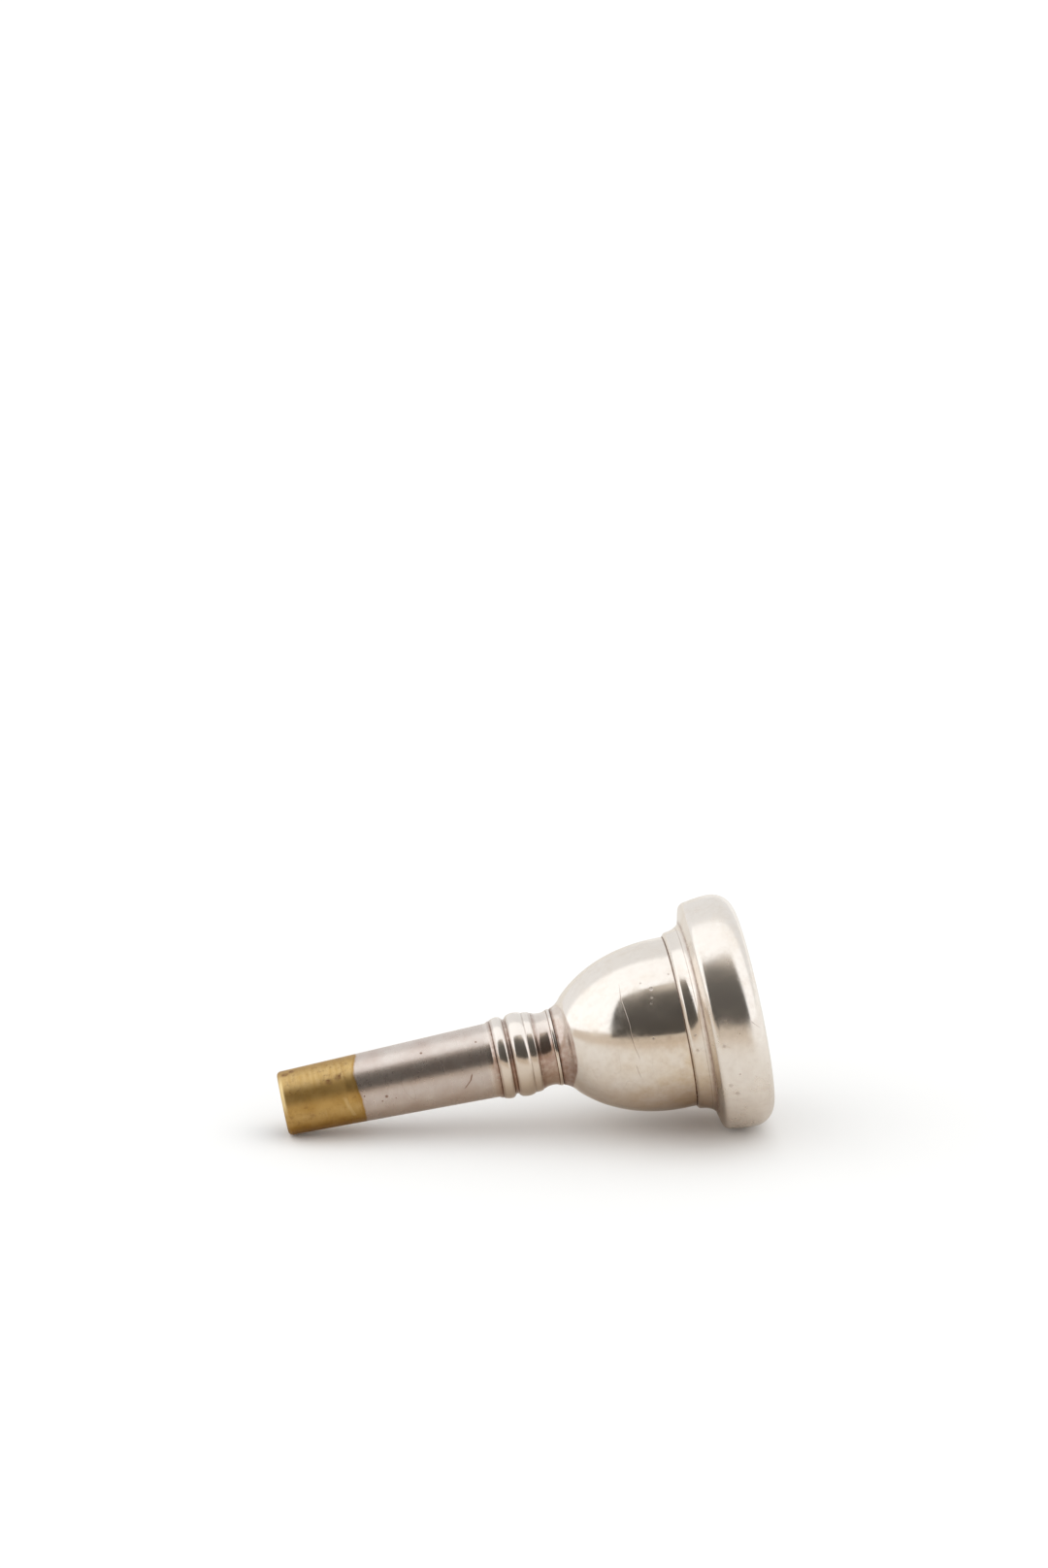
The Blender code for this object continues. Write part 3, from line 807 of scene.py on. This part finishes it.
class MOUTHPIECE_OT_cup(Operator):
    """Turn the goblet cup on its flared foot, with a threaded socket at each end"""

    bl_idname = "mouthpiece.cup"
    bl_label = "Turn the Cup"

    def execute(self, context):
        settings = context.scene.mouthpiece
        rim, cup = settings.rim, settings.cup
        foot, shoulder, radius = cup.foot / MM - 0.32, cup.shoulder / MM, cup.radius / MM
        curve, depth = cup.curve / MM, cup.depth / MM
        mouth, throat = rim.mouth / MM, cup.throat / MM
        top, lip = rim.seam / MM - SEAM_GAP, rim.crest / MM - LIP_DROP
        shelf = rim.spigot_end / MM - 0.3
        bowl_turn = math.degrees(math.acos(-(shoulder - BOWL_START) / curve))
        # The bowl stands a little outside its ellipse between the ends.
        bowl = arc((shoulder, 0.0), curve, radius, bowl_turn, 90, BOWL_STEPS)
        for step, (at, out) in enumerate(bowl):
            bowl[step] = at, out * (1.0 + BOWL_SWELL * math.sin(math.pi * step / BOWL_STEPS))
        flare = [(foot, 6.25), (foot + 0.1, 6.43), (47.1, 6.58), (47.75, 6.95), (48.3, 7.45)]
        edge = [(top - 0.1, radius - 0.01, 0.04), (top, radius - 0.1, 0.04), (top, RIM_SOCKET)]
        outside = [(foot, SHANK_SOCKET), *through([*flare, bowl[0]]), *bowl[1:]]
        outside += eased([(shoulder, radius), *edge])[1:]
        lip_turn = math.degrees(math.acos((lip - shelf) / depth))
        throat_turn = math.degrees(math.asin(throat / mouth))
        inside = arc((lip, 0.0), depth, -mouth, 180 + lip_turn, 182 + throat_turn, 30)
        floor = lip - depth * math.cos(math.radians(throat_turn))
        inside += [(floor - 0.15, throat), (floor - 0.25, throat), (SHANK_SOCKET_TOP, throat)]
        shank_socket = [(SHANK_SOCKET_TOP, SHANK_SOCKET, 0.1), (foot, SHANK_SOCKET)]
        bm = bmesh.new()
        turn(bm, outside, OUTSIDE)
        turn(bm, inside, INSIDE)
        turn(bm, eased([(top, RIM_SOCKET), (shelf, RIM_SOCKET, 0.1), inside[0]]), MACHINED)
        turn(bm, eased([inside[-1], *shank_socket]), MACHINED)
        wind_thread(bm, shelf + 0.2, top - 0.1, RIM_SOCKET, -0.19)
        wind_thread(bm, foot + 0.1, SHANK_SOCKET_TOP - 0.1, SHANK_SOCKET, -0.19)
        slip = [(58.35, 33.4), (58.05, 48.0), (58.35, 60.0), (58.52, 67.0), (58.45, 73.0)]
        wear = {
            "haze": [(48.0, 0.04), (67.0, 0.04)],
            "freckles": 0.2,
            "stains": [(46.75, 0.4, 0.8), (67.3, 0.12, 0.8)],
            "dusk_and_shade": [(46.7, 0.9), (47.3, 0.8), (47.9, 1.0), (48.1, 0.0), (66.8, 0.0), (67.4, 0.3)],
            "reflection_creep": 1.3,
            "warmth": [(48.8, 0.2), (56.0, 0.25), (62.0, 0.42), (67.2, 0.55)],
            "grime_and_shade": [(48.0, 0.55), (60.0, 0.6), (67.3, 1.0)],
            "pits": [
                (66.5, 38, 14.2, 0.6), (61.73, 40, 13.9, 0.6), (63.2, 46, 14.1, 0.8),
                (63.0, 52, 14.05, 0.7), (62.67, 56, 14.0, 0.6), (61.9, 79, 13.9, 0.6),
            ],
            # Two slips of a tool on the near side.
            "scratches": [
                (0.17, [*slip, (58.6, 82.0), (59.13, 93.0)]),
                (0.17, [(58.31, 95.9), (58.5, 102.0), (58.82, 108.0)]),
            ],
        }
        materials = plated_piece("cup", settings.finish, wear)
        finish_piece(bm, "goblet_cup", materials, "cup", "cup_body")
        return {"FINISHED"}


class MOUTHPIECE_OT_shank(Operator):
    """Turn the tapered shank with its beads, neck and foot ring, bored through, threaded above"""

    bl_idname = "mouthpiece.shank"
    bl_label = "Turn the Shank"

    def execute(self, context):
        settings = context.scene.mouthpiece
        shank, sleeve = settings.shank, settings.sleeve
        tip, taper, bore_end = shank.tip_radius / MM, shank.taper, shank.bore / MM
        seam, top, throat = sleeve.seam / MM + 0.01, shank.top / MM, settings.cup.throat / MM
        shelf, ring_top = sleeve.shelf / MM + 0.3, 46.6
        wall = [(seam, SLEEVE_SPIGOT), (seam, tip + taper * seam - 0.015)]
        wall.append((seam + 0.015, tip + taper * seam))
        wall += [(at, tip + taper * at) for at in (seam + 0.1, 23.0, 35.3)]
        foot_of_bead = (35.35, tip + taper * 35.35)
        small_bead = [(36.5, 6.5), (36.85, 6.68), (37.5, 6.83), (38.05, 6.79), (38.4, 6.58)]
        groove = [(38.4, 6.58), (38.58, 6.34), (38.82, 6.24), (39.0, 6.33), (39.14, 6.54)]
        large_bead = [(39.14, 6.54), (39.5, 6.82), (40.1, 6.98), (40.75, 7.02), (41.4, 6.91)]
        ridge = [(41.9, 6.66), (42.1, 6.7), (42.55, 6.68), (42.98, 6.61), (43.2, 6.46)]
        neck = [(43.5, 6.33), (44.1, 6.14), (44.9, 6.07), (45.5, 6.13), (45.86, 6.31)]
        foot_ring = [(46.08, 6.38), (46.18, 6.43), (46.42, 6.42), (46.55, 6.36), (ring_top, 6.28)]
        wall += through([foot_of_bead, (35.75, 6.21), (36.05, 6.36), (36.28, 6.47)], 5)
        wall += [(36.33, 6.46), (36.4, 6.38), (36.47, 6.46)]
        wall += through(small_bead, 6)
        wall += through(groove, 5)[1:]
        wall += through([*large_bead, (41.82, 6.71)], 6)[1:]
        wall += through(ridge, 5)
        wall += [(43.26, 6.38), (43.44, 6.34)]
        wall += through(neck, 6)
        wall += [(45.95, 6.34), (46.0, 6.28), (46.06, 6.36)]
        wall += through(foot_ring, 4)
        wall.append((ring_top, SHANK_SPIGOT))
        narrow = bore_end + (throat - bore_end) * shelf / THROAT_END
        bored = [(ring_top, SHANK_SPIGOT), (top, SHANK_SPIGOT, 0.25), (top, throat, 0.1)]
        bored.append((THROAT_END, throat))
        backbore = [(THROAT_END, throat), (shelf, narrow, 0.1), (shelf, SLEEVE_SPIGOT, 0.15)]
        backbore.append((seam, SLEEVE_SPIGOT))
        bm = bmesh.new()
        turn(bm, wall, OUTSIDE)
        turn(bm, eased(bored), MACHINED)
        turn(bm, eased(backbore), MACHINED)
        wind_thread(bm, ring_top + 0.4, top - 0.3, SHANK_SPIGOT, 0.29)
        wear = {
            "stains": [
                (36.35, 0.6, 0.65), (38.8, 0.75, 0.68), (41.88, 0.2, 0.4),
                (43.4, 0.6, 0.55), (45.98, 0.14, 0.6), (46.6, 0.16, 0.85),
            ],
            "dusk_and_shade": [
                (34.9, 0.0), (35.6, 0.6), (36.35, 0.75), (36.9, 0.15), (38.3, 0.15), (38.8, 0.9),
                (39.4, 0.15), (42.9, 0.2), (43.4, 0.9), (45.9, 0.9), (46.05, 0.1), (46.5, 0.1),
                (46.6, 0.9),
            ],
            "pits": [
                (17.45, 95, 5.74, 0.75), (13.88, 87, 5.65, 0.45), (16.63, 102, 5.72, 0.4),
                (18.9, 101, 5.77, 0.3), (24.4, 35, 5.91, 0.6), (33.57, 37, 6.14, 0.5),
            ],
            "scratches": [(0.4, [(31.97, 85.0), (31.5, 96.0), (30.2, 109.5)])],
        }
        plate = worn_shank_plate(settings.finish, wear)
        brass = bare_brass("bored brass, shank", settings.finish, 0.2, 0.2)
        finish_piece(bm, "beaded_shank", [plate, brass], "shank", "shank_body")
        return {"FINISHED"}


class MOUTHPIECE_OT_sleeve(Operator):
    """Turn the bare brass sleeve on the end of the shank"""

    bl_idname = "mouthpiece.sleeve"
    bl_label = "Turn the End Sleeve"

    def execute(self, context):
        settings = context.scene.mouthpiece
        shank, sleeve = settings.shank, settings.sleeve
        tip, taper, bore_end = shank.tip_radius / MM, shank.taper, shank.bore / MM
        seam, shelf, mouth = sleeve.seam / MM, sleeve.shelf / MM, sleeve.mouth / MM
        narrow = bore_end + (settings.cup.throat / MM - bore_end) * shelf / THROAT_END
        wall = [(seam, mouth, 0.1), (seam, tip + taper * seam, 0.015), (1.2, tip + 1.2 * taper)]
        bore = [(0.4, bore_end, 0.1), (shelf, narrow, 0.12), (shelf, mouth)]
        chain = eased([(shelf, mouth), *wall])
        chain += arc((1.15, tip - 0.67), 0.75, 0.7, 90, 180, 12)
        chain += eased([(0.4, tip - 0.68), *bore])
        bm = bmesh.new()
        turn(bm, chain, OUTSIDE)
        brass = bare_brass("bare dull brass, sleeve", settings.finish, 0.3, 0.33, 1.0)
        finish_piece(bm, "brass_sleeve", [brass], "end_sleeve", "shank_body")
        return {"FINISHED"}


def matt_surface(node, tint):
    """A matt surface of one tint, for what stands in the studio."""
    node("ShaderNodeOutputMaterial", {"Surface": node("ShaderNodeBsdfDiffuse", {"Color": tint})})


def studio_paper(settings):
    """Matt white paper: an even, pale floor that still shows the object's soft shadow."""
    material, node = blank_material("matt studio paper")
    matt_surface(node, settings.floor)
    return material


def beige_card(settings):
    """Beige card laid on the paper, which gives the lower half of polished metal a warm tint."""
    material, node = blank_material("matt beige card")
    place = node(WHERE, out="Object")
    near = share_by(node, node(SPLIT, [place], out="Y"), [(-0.13, 1.0), (-0.05, 0.0)])
    # It pales to the paper's white before the rim's mouth.
    pale = share_by(node, node(SPLIT, [place], out="X"), [(0.06, 0.0), (0.2, 0.75)])
    coats = [(near, settings.far_card), (pale, settings.floor)]
    matt_surface(node, coated(node, settings.card, coats))
    return material


def grey_flag(settings):
    """Grey cloth on a frame, which darkens the front of polished metal, less so near its top."""
    material, node = blank_material("grey cloth flag")
    place = node(WHERE, out="Object")
    across, height = (node(SPLIT, [place], out=name) for name in "XZ")
    # Near its top, the light comes by lower down before the rim.
    lift = node(RANGE, (across, -0.11, -0.04, 0.0, 0.13))
    near_top = node(RANGE, (height, 0.25, 0.4))
    height = node(TIMES_PLUS, (lift, near_top, height))
    fade = [(0.0, 0.08), (0.12, 0.08), (0.18, 0.105), (0.27, 0.16), (0.36, 0.27), (0.46, 0.5)]
    fade = share_by(node, height, [*fade, (0.52, 0.62)])
    matt_surface(node, coated(node, Color((0, 0, 0)), [(fade, settings.flag)]))
    return material


def round_sweep(rows, level):
    """A round floor that curves up at its edge, from (reach, height) rows above a level."""
    bm = bmesh.new()
    verts = [bm.verts.new((reach, 0.0, level + height)) for reach, height in rows]
    spin_chain(bm, verts, False, angle=2 * math.pi, steps=FLOOR_STEPS, use_merge=True)
    bmesh.ops.remove_doubles(bm, verts=bm.verts, dist=FLOOR_MERGE)
    bmesh.ops.recalc_face_normals(bm, faces=bm.faces)
    bmesh.ops.reverse_faces(bm, faces=[face for face in bm.faces if face.normal.z < 0.0])
    for face in bm.faces:
        face.smooth = True
    return bm


def add_stage_piece(bm, name, *materials):
    """Make a shape that belongs to the studio and not to the object."""
    piece = make_piece(bm, name, materials)
    return piece


def show_only_in_metal(piece):
    """Let a flag or card show in polished metal alone, so that it leaves the floor's light be."""
    for rays in ("camera", "diffuse", "shadow", "transmission", "volume_scatter"):
        setattr(piece, f"visible_{rays}", False)


def soft_light(stage):
    """Soft light all round, brighter from the front half than from the back, and on the left."""
    world = bpy.data.worlds.new("soft studio light")
    world.use_nodes = True
    world.node_tree.nodes.clear()
    node = partial(add_node, world.node_tree)
    toward = node(WHERE, out="Generated")
    front = (0.0, -math.sin(stage.front_reach), -math.cos(stage.front_reach))
    ahead = node("ShaderNodeVectorMath:DOT_PRODUCT", (toward, front), out="Value")
    left = node(SMALLER, (node(SPLIT, [toward], out="X"), 0.0))
    ahead = node(TIMES_PLUS, (left, -stage.left_reach, ahead))
    level = (ahead, -LIGHT_BLEND, LIGHT_BLEND, stage.back_light, stage.front_light)
    level = node(RANGE, level, **SMOOTH)
    level = node(TIMES_PLUS, (left, -stage.left_gain, level))
    glow = node("ShaderNodeBackground", {"Color": stage.light, "Strength": level})
    node("ShaderNodeOutputWorld", {"Surface": glow})
    return world


class MOUTHPIECE_OT_stage(Operator):
    """Lay the pale floor, stand the flag, and set up the light and the camera"""

    bl_idname = "mouthpiece.stage"
    bl_label = "Set the Stage"

    def execute(self, context):
        scene = context.scene
        stage = scene.mouthpiece.stage
        low, high = (Vector(corner) for corner in CAD_BOX)
        middle = (low + high) / 2

        rows = [(0.0, 0.0), (2.6, 0.0), (3.0, 0.04), (3.3, 0.16), (3.6, 0.5)]
        paper = round_sweep(rows, low.z - 0.02 * MM)
        add_stage_piece(paper, "paper_floor", studio_paper(stage))
        rows = [(0.0, 0.0), (2.5, 0.0), (2.9, 0.045), (3.2, 0.17), (3.5, 0.5)]
        sheet = round_sweep(rows, low.z - 0.01 * MM)
        show_only_in_metal(add_stage_piece(sheet, "beige_card", beige_card(stage)))

        # The flag leans with the mouthpiece's axis, and a strip of card closes the gap below it.
        spot = Matrix.Translation((-0.002, -0.17, 0.03))
        spot @= Matrix.Rotation(AXIS_TURN - math.pi / 2, 4, "Y")
        hem = [(-0.135, 0.026), (-0.02, 0.003), (0.04, -0.008), (0.19, -0.012)]
        head = [(0.19, 0.5), (-0.235, 0.5)]
        strip = [(0.2, -0.06), (-0.2, -0.06)]
        bm = bmesh.new()
        hem, head, strip = (
            [bm.verts.new((across, 0.0, up)) for across, up in points]
            for points in (hem, head, strip)
        )
        bm.faces.new(hem + head)
        bm.faces.new(hem + strip).material_index = 1
        bmesh.ops.transform(bm, matrix=spot, verts=bm.verts)
        cloth, card = grey_flag(stage), beige_card(stage)
        show_only_in_metal(add_stage_piece(bm, "front_flag", cloth, card))

        scene.world = soft_light(stage)

        # The frame is 1080 by 1616, so the sensor's 36 mm lie along its height.
        flat = math.cos(stage.elevation)
        toward = Vector(
            (
                math.sin(stage.azimuth) * flat,
                -math.cos(stage.azimuth) * flat,
                math.sin(stage.elevation),
            )
        )
        across = Vector((0, 0, 1)).cross(toward).normalized()
        up = toward.cross(across).normalized()
        data = bpy.data.cameras.new("studio_camera")
        data.sensor_width = 36.0
        data.lens = stage.lens
        camera = bpy.data.objects.new("studio_camera", data)
        camera.location = middle + toward * stage.distance
        aim = middle + up * stage.rise + across * stage.aside
        facing = (aim - camera.location).to_track_quat("-Z", "Y")
        camera.rotation_euler = (facing @ Quaternion((0, 0, 1), stage.roll)).to_euler()
        scene.collection.objects.link(camera)
        scene.camera = camera
        scene.view_settings.view_transform = "Standard"
        return {"FINISHED"}


class MOUTHPIECE_PT_panel(Panel):
    """The mouthpiece's sizes, finishes and stage"""

    bl_label = "Mouthpiece"
    bl_idname = "MOUTHPIECE_PT_panel"
    bl_space_type = "VIEW_3D"
    bl_region_type = "UI"
    bl_category = "Mouthpiece"

    def draw(self, context):
        settings = context.scene.mouthpiece
        self.layout.prop(settings, "turn_steps")
        for part in ("rim", "cup", "shank", "sleeve", "finish", "stage"):
            group = getattr(settings, part)
            box = self.layout.box()
            box.label(text=part.capitalize())
            for name in group.__annotations__:
                box.prop(group, name)
        for operator in OPERATORS:
            self.layout.operator(operator.bl_idname)


OPERATORS = (
    MOUTHPIECE_OT_rim,
    MOUTHPIECE_OT_cup,
    MOUTHPIECE_OT_shank,
    MOUTHPIECE_OT_sleeve,
    MOUTHPIECE_OT_stage,
)
CLASSES = (
    RimSettings,
    CupSettings,
    ShankSettings,
    SleeveSettings,
    FinishSettings,
    StageSettings,
    MouthpieceSettings,
    *OPERATORS,
    MOUTHPIECE_PT_panel,
)


def register():
    """Register the classes and hang the settings on the scene."""
    for cls in CLASSES:
        bpy.utils.register_class(cls)
    bpy.types.Scene.mouthpiece = PointerProperty(type=MouthpieceSettings)


def unregister():
    """Take the settings and the classes away again."""
    del bpy.types.Scene.mouthpiece
    for cls in reversed(CLASSES):
        bpy.utils.unregister_class(cls)


def main():
    """Build the mouthpiece and its stage."""
    register()
    bpy.ops.mouthpiece.rim()
    bpy.ops.mouthpiece.cup()
    bpy.ops.mouthpiece.shank()
    bpy.ops.mouthpiece.sleeve()
    bpy.ops.mouthpiece.stage()


if __name__ == "__main__":
    main()
